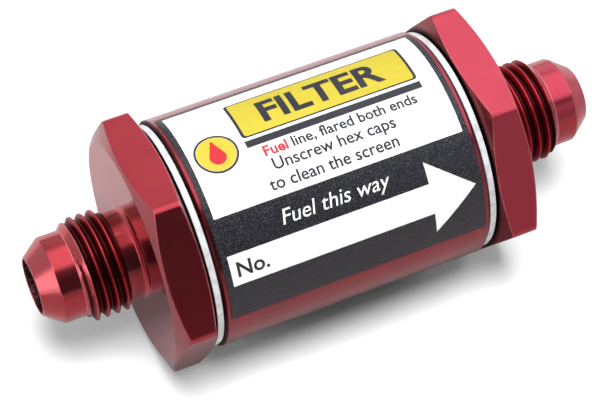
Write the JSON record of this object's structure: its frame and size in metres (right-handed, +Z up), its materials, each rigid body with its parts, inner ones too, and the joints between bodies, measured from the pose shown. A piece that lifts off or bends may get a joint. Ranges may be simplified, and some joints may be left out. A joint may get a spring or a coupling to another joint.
{
  "type": "in-line fuel filter",
  "caption": "Round aluminium in-line fuel filter with hex end caps, male 37 degree flare ends, crush washers and a spring-loaded pleated cartridge.",
  "frame": {"origin": "middle of the barrel on its axis, which is also the centre of the whole filter", "axes": "+X along the barrel in the direction of flow, towards the outlet; +Z up, square to a flat of the outlet hex; the label lies over the top and towards -Y"},
  "size_m": [0.08, 0.0362, 0.034],
  "materials": {
    "barrel_red": "red anodised, turned",
    "cap_red": "red anodised, turned and milled",
    "label_print": "printed satin film in black, white and yellow",
    "washer_bare": "bare, dull",
    "plated_steel": "tin plated",
    "stainless_mesh": "fine woven wire",
    "stainless_screen": "coarse woven wire",
    "bond_resin": "cured adhesive",
    "seal_rubber": "nitrile, matt",
    "spring_steel": "drawn wire"
  },
  "bodies": {
    "barrel": {"body_tube": "barrel_red", "body_label": "label_print"},
    "inlet_ring": {"inlet_crush_washer": "washer_bare", "element_spring": "spring_steel"},
    "inlet_end": {"inlet_cap": "cap_red"},
    "outlet_ring": {"outlet_crush_washer": "washer_bare"},
    "outlet_end": {"outlet_cap": "cap_red"},
    "cartridge": {"element_closed_end": "plated_steel", "element_open_end": "plated_steel", "element_core": "plated_steel", "element_closed_end_bond": "bond_resin", "element_open_end_bond": "bond_resin", "element_filter_mesh": "stainless_mesh", "element_support_screen": "stainless_screen", "element_seam_clip": "plated_steel", "element_gasket": "seal_rubber"}
  },
  "joints": [
    {"name": "inlet_cap_travel", "type": "slide", "parent": "barrel", "child": "inlet_ring", "axis": [-1, 0, 0], "range_m": [0, 0.0078]},
    {"name": "inlet_cap_turn", "type": "hinge", "parent": "inlet_ring", "child": "inlet_end", "pos_m": [0, 0, 0], "axis": [-1, 0, 0], "range_deg": [0, 1980]},
    {"name": "outlet_cap_travel", "type": "slide", "parent": "barrel", "child": "outlet_ring", "axis": [1, 0, 0], "range_m": [0, 0.0078]},
    {"name": "outlet_cap_turn", "type": "hinge", "parent": "outlet_ring", "child": "outlet_end", "pos_m": [0, 0, 0], "axis": [1, 0, 0], "range_deg": [0, 1980]},
    {"name": "element_lift", "type": "slide", "parent": "barrel", "child": "cartridge", "axis": [-1, 0, 0], "range_m": [0, 0.0025], "stiffness_N_per_m": 1800, "springref_m": -0.003, "deforming": ["element_spring"]}
  ],
  "couplings": [
    {"joint": "inlet_cap_travel", "follows": "inlet_cap_turn", "m_per_rad": 0.00022458},
    {"joint": "outlet_cap_travel", "follows": "outlet_cap_turn", "m_per_rad": 0.00022458}
  ]
}
